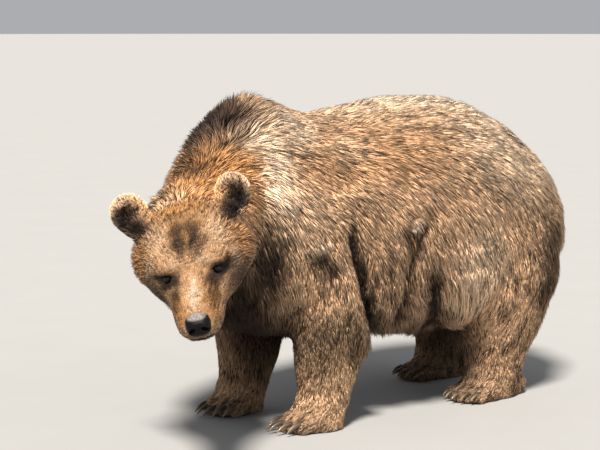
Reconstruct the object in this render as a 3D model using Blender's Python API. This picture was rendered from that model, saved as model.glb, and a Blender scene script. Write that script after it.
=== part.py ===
"""A brown bear, life size, standing on all fours with its head lowered and turned to its left.

Metres, +Z up. The bear faces -Y and its left side is +X. It is blocked out in masses whose
surface is the tips of the coat. The masses are fused and smoothed into one body, and thin cuts
part that body where a person would name its pieces. The floor under the top of the shoulder
hump is the origin while it is built. The last step moves the origin under the middle of the bear.
"""

import math

import bmesh
import bpy
import numpy as np
from mathutils import Matrix, Vector

# ---------------------------------------------------------------- driving dimensions

HUMP_HEIGHT = 1.05          # floor to the top of the shoulder hump
DIP_HEIGHT = 0.985          # floor to the saddle behind the hump
RUMP_HEIGHT = 1.03          # floor to the top of the croup
BELLY_HEIGHT = 0.23         # floor to the lowest belly fur
BELLY_HALF_WIDTH = 0.385    # widest half of the trunk
FORELEGS = 0.20             # how far behind the top of the hump the forelegs stand
HINDLEGS = 1.00             # how far behind it the hind legs stand
RUMP_END = 1.30             # how far behind it the rump ends

TRACK = 0.185               # midline to the middle of each paw
PAW_SEAM = 0.105            # height of the seam between leg and paw
FORE_STEP = {1: 0.01, -1: -0.015}   # left and right forepaw, back from the shoulder
HIND_STEP = {1: -0.065, -1: 0.06}   # the left hind paw is the one set forward
TOE_IN = math.radians(9)    # bears turn their forepaws inwards

EYES_MIDDLE = Vector((0.396, -0.461, 0.577))
HEAD_YAW = math.radians(54)     # turned to the bear's left
HEAD_PITCH = math.radians(23)   # nose lowered
HEAD_ROLL = math.radians(-13)   # left cheek raised
SKULL_LENGTH = 0.215            # the head's seam with the neck, behind the eyes
EYE_SPACING = 0.140
EYE_FORWARD = 0.016         # the eyes stand this far ahead of the middle of the head's frame
EYE_RADIUS = 0.0135
EYE_RAISE = 0.005           # and this far above it
MOUTH_LINE = -0.093             # below the eyes, in the head's frame

CUT = 0.0004                # gap that a cut leaves between two pieces
BODY_VOXEL = 0.013
FINE_VOXEL = 0.0065

X, Y, Z = Vector((1, 0, 0)), Vector((0, 1, 0)), Vector((0, 0, 1))

# The head's frame lies between the eyes, with the nose along its -Y.
HEAD = (
    Matrix.Translation(EYES_MIDDLE)
    @ Matrix.Rotation(HEAD_YAW, 4, "Z")
    @ Matrix.Rotation(HEAD_PITCH, 4, "X")
    @ Matrix.Rotation(HEAD_ROLL, 4, "Y")
)
HEAD_TURN = HEAD.to_quaternion().to_matrix().to_4x4()

# The seam of neck and trunk runs from the front of the hump down to the front of the chest.
NECK_SEAM = (
    Matrix.Translation((0.0, -0.13, 0.71))
    @ Matrix.Rotation(math.radians(16), 4, "Z")
    @ Matrix.Rotation(math.radians(-24), 4, "X")
)

# ---------------------------------------------------------------- finishes


def finish(name, colour, roughness):
    material = bpy.data.materials.new(name)
    material.use_nodes = True
    shader = material.node_tree.nodes["Principled BSDF"]
    shader.inputs["Base Color"].default_value = (*colour, 1)
    shader.inputs["Roughness"].default_value = roughness
    shader.inputs["Metallic"].default_value = 0.0
    return material


def make_finishes():
    return {
        "body_coat": finish("body_coat", (0.30, 0.19, 0.105), 0.85),
        "leg_coat": finish("leg_coat", (0.15, 0.09, 0.06), 0.85),
        "face_coat": finish("face_coat", (0.33, 0.20, 0.10), 0.8),
        "ear_coat": finish("ear_coat", (0.22, 0.15, 0.09), 0.85),
        "nose_leather": finish("nose_leather", (0.035, 0.03, 0.032), 0.4),
        "eye_gloss": finish("eye_gloss", (0.03, 0.016, 0.008), 0.1),
        "claw_horn": finish("claw_horn", (0.13, 0.10, 0.075), 0.4),
    }


# ---------------------------------------------------------------- shaping masses


def smooth_rows(rows, per_span=4):
    """The rows, one for each station, with further stations between them on a smooth curve."""
    rows = np.array(rows, float)
    before, after = 2 * rows[0] - rows[1], 2 * rows[-1] - rows[-2]
    ends = np.vstack([before, rows, after])
    made = []
    for p0, p1, p2, p3 in zip(ends, ends[1:], ends[2:], ends[3:]):
        for t in np.arange(per_span) / per_span:
            straight = 2 * p1 + (p2 - p0) * t
            bent = (2 * p0 - 5 * p1 + 4 * p2 - p3) * t**2
            turned = (3 * p1 - p0 - 3 * p2 + p3) * t**3
            made.append(0.5 * (straight + bent + turned))
    made.append(rows[-1])
    return made


def ring(centre, across, upward, half_width, rise, drop, fullness=2.2, count=28):
    """A closed outline round centre. It reaches rise along upward and drop against it."""
    made = []
    for k in range(count):
        t = 2 * math.pi * k / count
        c, s = math.cos(t), math.sin(t)
        out = half_width * math.copysign(abs(c) ** (2 / fullness), c)
        up = (rise if s > 0 else drop) * math.copysign(abs(s) ** (2 / fullness), s)
        made.append(centre + across * out + upward * up)
    return made


def loft(bm, rings):
    """A closed tube through rings, which all have the same number of points."""
    loops = [[bm.verts.new(point) for point in ring] for ring in rings]
    count = len(loops[0])
    for first, second in zip(loops, loops[1:]):
        for k in range(count):
            n = (k + 1) % count
            bm.faces.new((first[k], first[n], second[n], second[k]))
    bm.faces.new(list(reversed(loops[0])))
    bm.faces.new(loops[-1])


def ball(bm, centre, radii, turn=Matrix(), fineness=24):
    """A round mass: an ellipsoid with these radii."""
    place = Matrix.Translation(centre) @ turn @ Matrix.Diagonal((*radii, 1))
    bmesh.ops.create_uvsphere(
        bm, u_segments=fineness, v_segments=fineness * 2 // 3, radius=1, matrix=place
    )


def new_object(name, bm):
    """An object of the finished bmesh, with its faces pointing out."""
    bmesh.ops.recalc_face_normals(bm, faces=bm.faces)
    mesh = bpy.data.meshes.new(name)
    bm.to_mesh(mesh)
    bm.free()
    obj = bpy.data.objects.new(name, mesh)
    bpy.context.scene.collection.objects.link(obj)
    return obj


def copy_of(obj, name):
    made = bpy.data.objects.new(name, obj.data.copy())
    bpy.context.scene.collection.objects.link(made)
    return made


def discard(*objects):
    for obj in objects:
        bpy.data.objects.remove(obj)


def apply_modifiers(obj):
    graph = bpy.context.evaluated_depsgraph_get()
    mesh = bpy.data.meshes.new_from_object(obj.evaluated_get(graph))
    obj.modifiers.clear()
    obj.data = mesh
    mesh.name = obj.name
    return obj


def fuse(name, bm, voxel, smoothing, triangles):
    """One closed form from overlapping masses, smoothed where they meet and thinned."""
    form = new_object(name, bm)
    remesh = form.modifiers.new("fuse", "REMESH")
    remesh.mode = "VOXEL"
    remesh.voxel_size = voxel
    relax = form.modifiers.new("relax", "SMOOTH")
    relax.factor = 0.5
    relax.iterations = smoothing
    apply_modifiers(form)
    thin = form.modifiers.new("thin", "DECIMATE")
    thin.ratio = min(1.0, triangles / (2 * len(form.data.polygons)))
    return apply_modifiers(form)


# ---------------------------------------------------------------- cutting


def cut(obj, operation, *cutters):
    """obj less the cutters, or what of it lies inside them."""
    for cutter in cutters:
        step = obj.modifiers.new("cut", "BOOLEAN")
        step.operation = operation
        step.solver = "EXACT"
        step.object = cutter
        apply_modifiers(obj)
    return obj


def swollen(obj, by=CUT):
    """A copy whose surface stands out by this much, to cut its neighbour clear of it."""
    made = copy_of(obj, obj.name + "_swollen")
    step = made.modifiers.new("swell", "DISPLACE")
    step.strength = by
    step.mid_level = 0.0
    return apply_modifiers(made)


def block(name, frame, low, high):
    """A box from low to high in this frame."""
    bm = bmesh.new()
    low, high = Vector(low), Vector(high)
    place = frame @ Matrix.Translation((low + high) / 2) @ Matrix.Diagonal((*(high - low), 1))
    bmesh.ops.create_cube(bm, size=1, matrix=place)
    return new_object(name, bm)


def head_block(grow=0.0):
    """Everything in front of the seam of head and neck."""
    return block(
        "head_region", HEAD, (-0.30, -0.34, -0.32), (0.30, SKULL_LENGTH + grow, 0.32)
    )


def neck_block(grow=0.0):
    """Everything in front of the seam of neck and trunk, down to the chest."""
    return block("neck_region", NECK_SEAM, (-0.48, -0.70, -0.42 - grow), (0.62, grow, 0.50))


def leg_block(side, front, back, top, inner=0.07, grow=0.0):
    """The region of one leg: a tongue in side view, round on top, that starts inside the trunk."""
    half, middle = (back - front) / 2, (back + front) / 2
    arc = 14
    outline = [
        (
            middle + (half + grow) * math.cos(math.pi * k / arc),
            top - half + (half + grow) * math.sin(math.pi * k / arc),
        )
        for k in range(arc + 1)
    ]
    outline += [(front - grow, -0.10), (back + grow, -0.10)]
    near, far = side * (inner - grow), side * 0.60
    bm = bmesh.new()
    profile = bm.faces.new([bm.verts.new((near, y, z)) for y, z in outline])
    extruded = bmesh.ops.extrude_face_region(bm, geom=[profile])["geom"]
    moved = [v for v in extruded if isinstance(v, bmesh.types.BMVert)]
    bmesh.ops.translate(bm, vec=(far - near, 0, 0), verts=moved)
    return new_object("leg_region", bm)


def paw_block(side, floor, grow=0.0):
    """Everything of one leg from this floor up to the seam of its paw."""
    low, high = sorted((side * 0.02, side * 0.50))
    return block("paw_region", Matrix(), (low, -0.30, floor), (high, 1.60, PAW_SEAM + grow))


# ---------------------------------------------------------------- trunk and neck


def trunk_masses(bm):
    """Chest, belly and rump in one loft along the back."""
    hump, dip, rump = HUMP_HEIGHT, DIP_HEIGHT, RUMP_HEIGHT
    belly, wide, end = BELLY_HEIGHT, BELLY_HALF_WIDTH, RUMP_END
    stations = (
        # along, back, underside, half width, height of the widest place, fullness
        (-0.28, 0.70, 0.46, 0.08, 0.58, 2.0),
        (-0.23, 0.79, 0.39, 0.14, 0.57, 2.0),
        (-0.14, 0.93, 0.34, 0.20, 0.56, 2.0),
        (0.0, hump, 0.30, 0.265, 0.55, 1.95),
        (0.13, hump - 0.022, 0.275, 0.30, 0.55, 2.0),
        (0.27, dip + 0.004, 0.25, 0.33, 0.55, 2.1),
        (0.42, dip + 0.016, belly + 0.02, wide - 0.02, 0.55, 2.2),
        (0.57, rump - 0.008, belly + 0.005, wide - 0.005, 0.55, 2.2),
        (0.72, rump, belly, wide, 0.56, 2.2),
        (0.86, rump - 0.008, belly + 0.02, wide, 0.57, 2.2),
        (0.98, rump - 0.050, belly + 0.07, wide - 0.015, 0.57, 2.15),
        (1.09, rump - 0.108, belly + 0.13, wide - 0.04, 0.56, 2.15),
        (end - 0.11, rump - 0.188, belly + 0.18, wide - 0.085, 0.55, 2.15),
        (end - 0.035, rump - 0.285, belly + 0.23, wide - 0.17, 0.54, 2.0),
        (end, rump - 0.38, belly + 0.27, 0.09, 0.54, 2.0),
    )
    rings = []
    for along, back, under, half_width, widest, fullness in smooth_rows(stations):
        centre = Vector((0, along, widest))
        rings.append(
            ring(centre, X, Z, half_width, back - widest, widest - under, fullness)
        )
    loft(bm, rings)


def neck_masses(bm):
    """The neck, from inside the chest to the back of the skull, swung to the left."""
    stations = (
        # x, y and z of its middle, half width, rise, drop
        (0.02, 0.02, 0.70, 0.165, 0.255, 0.25),
        (0.065, -0.10, 0.69, 0.160, 0.200, 0.25),
        (0.115, -0.20, 0.68, 0.155, 0.165, 0.225),
        (0.16, -0.275, 0.665, 0.155, 0.152, 0.195),
        (0.235, -0.345, 0.645, 0.150, 0.145, 0.170),
    )
    rows = smooth_rows(stations)
    rings = []
    for i, (x, y, z, half_width, rise, drop) in enumerate(rows):
        ahead, behind = rows[min(i + 1, len(rows) - 1)], rows[max(i - 1, 0)]
        along = Vector(ahead[:3] - behind[:3]).normalized()
        across = Z.cross(along).normalized()
        upward = along.cross(across)
        rings.append(ring(Vector((x, y, z)), across, upward, half_width, rise, drop, 2.1))
    loft(bm, rings)


def tail(trunk):
    """A short stub that hangs from the end of the rump."""
    root = Vector((0, RUMP_END - 0.045, RUMP_HEIGHT - 0.32))
    stations = (
        # back from its root, down from it, radius
        (-0.03, -0.01, 0.040),
        (0.03, 0.01, 0.038),
        (0.062, 0.05, 0.033),
        (0.072, 0.10, 0.025),
        (0.070, 0.135, 0.010),
    )
    bm = bmesh.new()
    rings = []
    for back, down, radius in stations:
        lie = Vector((0, 1, 0.6 - down * 8)).normalized()
        centre = root + Vector((0, back, -down))
        rings.append(ring(centre, X, lie, radius, radius * 0.8, radius * 0.8, 2, 10))
    loft(bm, rings)
    made = new_object("tail", bm)
    clear = swollen(trunk)
    cut(made, "DIFFERENCE", clear)
    discard(clear)
    return made


# ---------------------------------------------------------------- head


def head_masses(bm):
    """Skull and muzzle in one loft along the head's own axis, with brows and cheeks laid on it."""
    across = (HEAD_TURN @ X).normalized()
    upward = (HEAD_TURN @ Z).normalized()
    stations = (
        # ahead of the eyes, top, underside, half width, height of the widest place
        (-0.29, 0.05, -0.13, 0.10, -0.03),
        (-0.24, 0.10, -0.16, 0.145, -0.03),
        (-0.18, 0.130, -0.165, 0.165, -0.025),
        (-0.12, 0.135, -0.158, 0.168, -0.025),
        (-0.07, 0.121, -0.150, 0.154, -0.02),
        (-0.03, 0.094, -0.144, 0.130, -0.025),
        (0.005, 0.058, -0.138, 0.103, -0.035),
        (0.035, 0.028, -0.134, 0.085, -0.05),
        (0.080, 0.014, -0.130, 0.076, -0.06),
        (0.125, 0.004, -0.126, 0.070, -0.065),
        (0.165, -0.006, -0.118, 0.063, -0.065),
        (0.190, -0.017, -0.110, 0.052, -0.062),
        (0.206, -0.034, -0.094, 0.034, -0.062),
    )
    rings = []
    for ahead, top, under, half_width, widest in smooth_rows(stations):
        centre = HEAD @ Vector((0, -ahead, widest))
        rings.append(
            ring(centre, across, upward, half_width, top - widest, widest - under, 2.3)
        )
    loft(bm, rings)
    for side in (-1, 1):
        brow = HEAD @ Vector((side * 0.060, 0.004, 0.022))
        ball(bm, brow, (0.044, 0.034, 0.022), HEAD_TURN)
        cheekbone = HEAD @ Vector((side * 0.084, 0.030, -0.034))
        ball(bm, cheekbone, (0.032, 0.046, 0.028), HEAD_TURN)
        cheek = HEAD @ Vector((side * 0.108, 0.125, -0.015))
        ball(bm, cheek, (0.074, 0.085, 0.090), HEAD_TURN)


def eye_centre(side):
    return Vector((side * EYE_SPACING / 2, -EYE_FORWARD, EYE_RAISE))


def eye(side):
    """The ball of one eye, which shows only its front."""
    bm = bmesh.new()
    place = Matrix.Translation(HEAD @ eye_centre(side))
    bmesh.ops.create_icosphere(bm, subdivisions=2, radius=EYE_RADIUS, matrix=place)
    return new_object("eye_left" if side > 0 else "eye_right", bm)


def eye_dish(side):
    """The hollow of the coat in front of one eye."""
    outward = Vector((side * 0.35, -0.93, 0.10)) * EYE_RADIUS * 1.25
    bm = bmesh.new()
    ball(bm, HEAD @ (eye_centre(side) + outward), (0.021, 0.017, 0.0135), HEAD_TURN, 14)
    return new_object("eye_dish", bm)


def nose():
    """The bare pad at the tip of the muzzle, with its two nostrils."""
    stations = (
        # ahead of the eyes, top, underside, half width
        (0.160, -0.024, -0.066, 0.022),
        (0.184, -0.018, -0.074, 0.032),
        (0.206, -0.021, -0.079, 0.035),
        (0.217, -0.029, -0.077, 0.030),
        (0.224, -0.040, -0.068, 0.018),
    )
    across = (HEAD_TURN @ X).normalized()
    upward = (HEAD_TURN @ Z).normalized()
    rings = []
    for ahead, top, under, half_width in smooth_rows(stations, 1):
        middle = (top + under) / 2
        centre = HEAD @ Vector((0, -ahead, middle))
        rings.append(ring(centre, across, upward, half_width, top - middle, middle - under, 2.5, 12))
    bm = bmesh.new()
    loft(bm, rings)
    pad = new_object("nose", bm)
    for side in (-1, 1):
        hole = bmesh.new()
        ball(
            hole, HEAD @ Vector((side * 0.018, -0.222, -0.054)), (0.0075, 0.014, 0.008), HEAD_TURN, 8
        )
        nostril = new_object("nostril", hole)
        cut(pad, "DIFFERENCE", nostril)
        discard(nostril)
    return pad


def ear(side, head, neck):
    """A round, cupped ear: a thick disc whose front a ball hollows out."""
    place = (
        HEAD
        @ Matrix.Translation((side * 0.148, 0.158, 0.132))
        @ Matrix.Rotation(side * math.radians(20), 4, "Y")
        @ Matrix.Rotation(side * math.radians(-16), 4, "Z")
    )
    turn = place.to_quaternion().to_matrix().to_4x4()
    across, forward = (turn @ X).normalized(), (turn @ -Y).normalized()
    stations = (
        # up from its middle, half width, front half of its thickness, back half
        (-0.080, 0.036, 0.026, 0.034),
        (-0.040, 0.049, 0.028, 0.032),
        (-0.002, 0.057, 0.026, 0.027),
        (0.030, 0.052, 0.021, 0.021),
        (0.051, 0.039, 0.016, 0.016),
        (0.063, 0.018, 0.008, 0.008),
    )
    bm = bmesh.new()
    rings = []
    for up, half_width, front, rear in stations:
        centre = place @ Vector((0, 0, up))
        rings.append(ring(centre, across, forward, half_width, front, rear, 2.1, 12))
    loft(bm, rings)
    made = new_object("ear_left" if side > 0 else "ear_right", bm)
    hole = bmesh.new()
    ball(hole, place @ Vector((0, -0.036, 0.003)), (0.041, 0.028, 0.044), turn, 10)
    hollow = new_object("ear_hollow", hole)
    clear = [swollen(head), swollen(neck)]
    cut(made, "DIFFERENCE", hollow, *clear)
    discard(hollow, *clear)
    return made


# ---------------------------------------------------------------- legs and paws


def foreleg_masses(bm, side):
    """Shoulder, upper arm and forearm."""
    at = FORELEGS
    stations = (
        # out, along, height, half width, front reach, back reach
        (0.15, at - 0.10, 0.84, 0.05, 0.10, 0.10),
        (0.175, at - 0.09, 0.76, 0.095, 0.15, 0.16),
        (0.19, at - 0.055, 0.66, 0.13, 0.17, 0.18),
        (0.20, at - 0.015, 0.54, 0.138, 0.165, 0.165),
        (0.20, at + 0.01, 0.43, 0.130, 0.140, 0.150),
        (0.195, at + 0.01, 0.31, 0.116, 0.122, 0.140),
        (TRACK, at + 0.005, 0.20, 0.098, 0.102, 0.118),
        (TRACK, at - 0.005, 0.12, 0.083, 0.088, 0.092),
        (TRACK, at - 0.02, 0.055, 0.080, 0.090, 0.075),
        (TRACK, at - 0.02, -0.01, 0.070, 0.075, 0.065),
    )
    rings = []
    for out, along, height, half_width, front, rear in smooth_rows(stations, 3):
        down = min(1.0, max(0.0, (0.7 - height) / 0.6))
        centre = Vector((side * out, along + FORE_STEP[side] * down, height))
        rings.append(ring(centre, X, -Y, half_width, front, rear, 2.3, 24))
    loft(bm, rings)


def hindleg_masses(bm, side):
    """Haunch, shank and hock."""
    at = HINDLEGS
    stations = (
        # out, along, height, half width, front reach, back reach
        (0.16, at - 0.01, 0.84, 0.06, 0.10, 0.10),
        (0.190, at - 0.02, 0.75, 0.120, 0.19, 0.15),
        (0.205, at - 0.01, 0.64, 0.155, 0.230, 0.190),
        (0.212, at, 0.53, 0.163, 0.240, 0.208),
        (0.215, at + 0.0, 0.42, 0.160, 0.215, 0.215),
        (0.205, at + 0.01, 0.32, 0.142, 0.175, 0.195),
        (0.195, at + 0.03, 0.23, 0.118, 0.140, 0.160),
        (TRACK, at + 0.035, 0.14, 0.094, 0.115, 0.120),
        (TRACK, at + 0.03, 0.06, 0.080, 0.115, 0.095),
        (TRACK, at + 0.03, -0.01, 0.068, 0.100, 0.080),
    )
    rings = []
    for out, along, height, half_width, front, rear in smooth_rows(stations, 3):
        down = min(1.0, max(0.0, (0.65 - height) / 0.5))
        centre = Vector((side * out, along + HIND_STEP[side] * down, height))
        rings.append(ring(centre, X, -Y, half_width, front, rear, 2.3, 24))
    loft(bm, rings)


# Five toes from the midline outwards: place across the paw and reach ahead of the middle toe.
TOES = ((-0.064, -0.030), (-0.034, -0.008), (0.0, 0.0), (0.034, -0.006), (0.063, -0.026))


def paw_frame(side, fore):
    """The middle of one paw on the floor, with its toes along -Y."""
    along = FORELEGS + FORE_STEP[side] if fore else HINDLEGS + HIND_STEP[side] + 0.03
    turn = -side * TOE_IN if fore else side * math.radians(4)
    return Matrix.Translation((side * TRACK, along, 0)) @ Matrix.Rotation(turn, 4, "Z")


def paw_masses(bm, side, fore):
    """Palm or sole and five toes, all flat below the floor line."""
    place = paw_frame(side, fore)
    turn = place.to_quaternion().to_matrix().to_4x4()
    reach = 0.125 if fore else 0.150
    ball(bm, place @ Vector((0, -reach * 0.50, 0.035)), (0.086, 0.075, 0.046), turn)
    ball(bm, place @ Vector((0, -reach * 0.20, 0.060)), (0.080, 0.085, 0.062), turn)
    if not fore:
        ball(bm, place @ Vector((0, 0.075, 0.035)), (0.064, 0.075, 0.045), turn)
    for across, ahead in TOES:
        toe = place @ Vector((across, -reach - ahead - 0.010, 0.026))
        ball(bm, toe, (0.0175, 0.032, 0.028), turn, 12)


def claw(side, fore, number, paw):
    """One curved claw of horn, from inside the toe forwards and down."""
    across, ahead = TOES[number]
    reach = (0.125 if fore else 0.150) + ahead + 0.032
    length = 0.054 if fore else 0.036
    bend = math.radians(52)
    radius = length / bend
    place = paw_frame(side, fore)
    rings = []
    for share in (0.0, 0.5, 1.0):
        angle = bend * share
        thick = 0.0075 * (1 - share**2) + 0.0015
        centre = Vector(
            (across, -reach - radius * math.sin(angle), 0.032 - radius * (1 - math.cos(angle)))
        )
        upward = Vector((0, -math.sin(angle), math.cos(angle)))
        turn = place.to_3x3()
        rings.append(ring(place @ centre, turn @ X, turn @ upward, thick * 0.75, thick, thick, 2, 5))
    bm = bmesh.new()
    loft(bm, rings)
    which = "fore" if fore else "hind"
    hand = "left" if side > 0 else "right"
    made = new_object(f"claw_{which}_{hand}_{number + 1}", bm)
    clear = swollen(paw)
    cut(made, "DIFFERENCE", clear)
    discard(clear)
    return made


# ---------------------------------------------------------------- the whole bear


def whole_body():
    bm = bmesh.new()
    trunk_masses(bm)
    neck_masses(bm)
    head_masses(bm)
    for side in (-1, 1):
        foreleg_masses(bm, side)
        hindleg_masses(bm, side)
    return fuse("body", bm, BODY_VOXEL, 16, 2760)


def fine_head():
    bm = bmesh.new()
    head_masses(bm)
    neck_masses(bm)
    form = fuse("head", bm, FINE_VOXEL, 8, 1760)
    region = head_block()
    cut(form, "INTERSECT", region)
    discard(region)
    return form


def fine_paw(side, fore):
    bm = bmesh.new()
    (foreleg_masses if fore else hindleg_masses)(bm, side)
    paw_masses(bm, side, fore)
    hand = "left" if side > 0 else "right"
    name = ("forepaw_" if fore else "hindpaw_") + hand
    form = fuse(name, bm, FINE_VOXEL, 3, 800)
    region = paw_block(side, 0.0)
    cut(form, "INTERSECT", region)
    discard(region)
    return form


def main():
    discard(*bpy.data.objects)
    finishes = make_finishes()
    body = whole_body()
    worn = {}

    head = fine_head()
    neck = copy_of(body, "neck")
    region, taken = neck_block(), head_block(CUT)
    cut(neck, "INTERSECT", region)
    cut(neck, "DIFFERENCE", taken)
    discard(region, taken)

    trunk = copy_of(body, "trunk")
    region, taken = neck_block(CUT), head_block(CUT)
    cut(trunk, "DIFFERENCE", region, taken)
    discard(region, taken)
    for side in (-1, 1):
        hand = "left" if side > 0 else "right"
        for fore in (True, False):
            if fore:
                span = (FORELEGS - 0.165, FORELEGS + 0.175, 0.80)
            else:
                span = (HINDLEGS - 0.25, HINDLEGS + 0.27, 0.80)
            leg = copy_of(body, ("foreleg_" if fore else "hindleg_") + hand)
            region, wider = leg_block(side, *span), leg_block(side, *span, grow=CUT)
            below = paw_block(side, -0.3, CUT)
            cut(leg, "INTERSECT", region)
            cut(leg, "DIFFERENCE", below)
            cut(trunk, "DIFFERENCE", wider)
            discard(region, wider, below)
            worn[leg.name] = "leg_coat"
            paw = fine_paw(side, fore)
            worn[paw.name] = "leg_coat"
            for number in range(len(TOES)):
                worn[claw(side, fore, number, paw).name] = "claw_horn"
    discard(body)
    worn[tail(trunk).name] = "body_coat"

    pad = nose()
    room = swollen(pad)
    cut(head, "DIFFERENCE", room)
    discard(room)
    for side in (-1, 1):
        worn[ear(side, head, neck).name] = "ear_coat"
    for side in (-1, 1):
        ball_of_eye = eye(side)
        room, dish = swollen(ball_of_eye), eye_dish(side)
        cut(head, "DIFFERENCE", room, dish)
        discard(room, dish)
        worn[ball_of_eye.name] = "eye_gloss"

    jaw = copy_of(head, "lower_jaw")
    region = block("jaw_region", HEAD, (-0.2, -0.30, -0.25), (0.2, 0.005, MOUTH_LINE))
    wider = block("jaw_region", HEAD, (-0.2, -0.30, -0.25), (0.2, 0.005 + CUT, MOUTH_LINE + CUT))
    cut(jaw, "INTERSECT", region)
    cut(head, "DIFFERENCE", wider)
    discard(region, wider)

    worn.update(trunk="body_coat", neck="body_coat", head="face_coat", lower_jaw="face_coat")
    worn["nose"] = "nose_leather"
    for name, material in worn.items():
        mesh = bpy.data.objects[name].data
        mesh.materials.clear()
        mesh.materials.append(finishes[material])
        mesh.shade_smooth()
        mesh.set_sharp_from_angle(angle=math.radians(40))
    stand_on_origin()


def stand_on_origin():
    """Moves every piece so that the floor under the middle of the bear's box is the origin."""
    corners = [
        obj.matrix_world @ vertex.co for obj in bpy.data.objects for vertex in obj.data.vertices
    ]
    low = [min(c[i] for c in corners) for i in range(3)]
    high = [max(c[i] for c in corners) for i in range(3)]
    middle = Vector(((low[0] + high[0]) / 2, (low[1] + high[1]) / 2, low[2]))
    for obj in bpy.data.objects:
        obj.data.transform(Matrix.Translation(-middle))
    print("origin moved by", [round(c, 5) for c in middle])


main()
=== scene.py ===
"""A brown bear dressed for show: one hide, a coat of locks, eyes, nose and claws."""

import math

import bmesh
import bpy
import numpy as np
from mathutils import Matrix, Vector
from mathutils.bvhtree import BVHTree
from mathutils.kdtree import KDTree


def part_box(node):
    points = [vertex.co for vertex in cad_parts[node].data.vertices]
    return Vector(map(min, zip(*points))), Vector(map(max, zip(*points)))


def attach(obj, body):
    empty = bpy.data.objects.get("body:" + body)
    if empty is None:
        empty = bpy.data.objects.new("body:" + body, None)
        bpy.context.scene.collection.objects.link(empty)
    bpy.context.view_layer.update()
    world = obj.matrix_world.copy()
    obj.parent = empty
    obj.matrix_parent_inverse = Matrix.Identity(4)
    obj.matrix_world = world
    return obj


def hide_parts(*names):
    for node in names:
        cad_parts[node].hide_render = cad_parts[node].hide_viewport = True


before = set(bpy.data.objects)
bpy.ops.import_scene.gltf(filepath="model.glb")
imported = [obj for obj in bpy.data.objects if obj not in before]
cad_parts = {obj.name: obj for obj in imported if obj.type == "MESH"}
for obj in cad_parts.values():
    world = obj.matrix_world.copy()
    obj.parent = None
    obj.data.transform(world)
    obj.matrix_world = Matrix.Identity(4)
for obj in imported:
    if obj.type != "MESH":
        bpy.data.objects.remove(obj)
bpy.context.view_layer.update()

# ==================================== THE HIDE
# One skin over the whole bear, from the rims of its ears to its soles. It lies inside the
# solids by the depth of the coat. Lids, lips and the folds of the flank are pressed into it.


def middle(node):
    low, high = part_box(node)
    return (low + high) / 2


def read(items, name, width=3, kind=np.float32):
    numbers = np.empty(len(items) * width, kind)
    items.foreach_get(name, numbers)
    return numbers.reshape(-1, width)


def points_of(mesh):
    return read(mesh.vertices, "co").astype(float)


def normals_of(mesh):
    return read(mesh.vertex_normals, "vector").astype(float)


def move_points(mesh, points):
    mesh.vertices.foreach_set("co", points.astype(np.float32).ravel())
    mesh.update()


def link(name, mesh):
    obj = bpy.data.objects.new(name, mesh)
    bpy.context.scene.collection.objects.link(obj)
    return obj


def bake_modifiers(obj):
    graph = bpy.context.evaluated_depsgraph_get()
    mesh = bpy.data.meshes.new_from_object(obj.evaluated_get(graph))
    obj.modifiers.clear()
    obj.data = mesh
    mesh.name = obj.name


def within(edge_0, edge_1, x):
    """0 up to edge_0, 1 from edge_1 on, and a smooth step between them."""
    t = np.clip((x - edge_0) / (edge_1 - edge_0), 0, 1)
    return t * t * (3 - 2 * t)


def unit(vectors):
    return vectors / np.maximum(np.linalg.norm(vectors, axis=-1, keepdims=True), 1e-9)


def near_to(points, centre, reach, power=1.0):
    """1 at the centre of a soft blob, and 1/e at its reach. A higher power is flatter inside."""
    far = (((points - centre) / reach) ** 2).sum(1)
    return np.exp(-(far**power))


def both_sides(points):
    """The points with x made positive, so that what is set on one side acts on both."""
    return np.column_stack([np.abs(points[:, 0]), points[:, 1:]])


# The bear's midline, and a frame for its head: +X left, +Y back, +Z up, between the eyes.
MIDLINE = (middle("foreleg_left").x + middle("foreleg_right").x) / 2
HEAD = (
    Matrix.Translation((middle("eye_left") + middle("eye_right")) / 2)
    @ Matrix.Rotation(math.radians(54), 4, "Z")
    @ Matrix.Rotation(math.radians(23), 4, "X")
    @ Matrix.Rotation(math.radians(-13), 4, "Y")
    @ Matrix.Translation((0, 0.016, -0.005))
)
HEAD_AXES = np.array(HEAD.to_3x3())
HEAD_ORIGIN = np.array(HEAD.translation)


def in_head(points):
    return (points - HEAD_ORIGIN) @ HEAD_AXES


def from_head(points):
    return np.asarray(points, float) @ HEAD_AXES.T + HEAD_ORIGIN


SIDES = {1: "left", -1: "right"}
FLESH = ["trunk", "neck", "head", "lower_jaw", "tail"]
FLESH += [
    f"{part}_{hand}"
    for part in ("ear", "foreleg", "hindleg", "forepaw", "hindpaw")
    for hand in ("left", "right")
]

# The solids are swelled by half a millimetre, so that the thin cuts between them close.
SWELLING, SKIN_VOXEL, FACES_KEPT = 0.0005, 0.005, 0.245
flesh = bmesh.new()
for node in FLESH:
    flesh.from_mesh(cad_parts[node].data)
bmesh.ops.remove_doubles(flesh, verts=flesh.verts, dist=1e-5)
flesh.normal_update()
for vertex in flesh.verts:
    vertex.co += vertex.normal * SWELLING
hide_mesh = bpy.data.meshes.new("hide")
flesh.to_mesh(hide_mesh)
flesh.free()
hide = link("hide", hide_mesh)
step = hide.modifiers.new("one skin", "REMESH")
step.mode, step.voxel_size = "VOXEL", SKIN_VOXEL
bake_modifiers(hide)

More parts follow.
